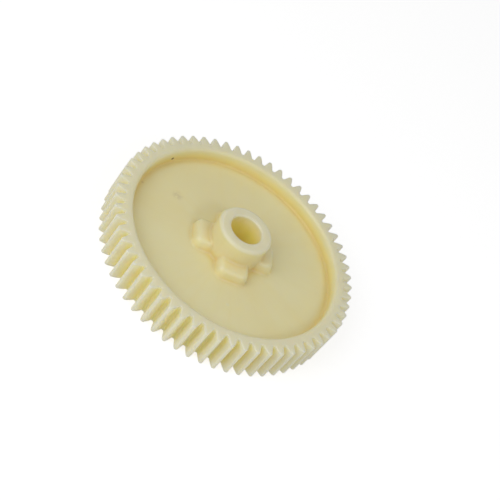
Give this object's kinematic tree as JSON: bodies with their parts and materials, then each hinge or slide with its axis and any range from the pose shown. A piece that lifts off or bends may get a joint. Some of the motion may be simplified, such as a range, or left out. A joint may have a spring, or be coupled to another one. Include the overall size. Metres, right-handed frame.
{
  "type": "spur gear",
  "caption": "Moulded plastic spur gear with a dished web, a tall plain-bored boss and drive lugs around the boss.",
  "frame": {"origin": "on the bore's axis, at the plane of the back face that the gear lies on", "axes": "+Z along the bore axis, towards the boss and the drive lugs; +X through the middle of one lug and of one tooth; +Y through the middle of the next lug"},
  "size_m": [0.0634, 0.0634, 0.0137],
  "materials": {
    "ivory_plastic": "satin, slightly translucent natural nylon"
  },
  "bodies": {
    "root": {"gear_wheel": "ivory_plastic"}
  },
  "joints": []
}
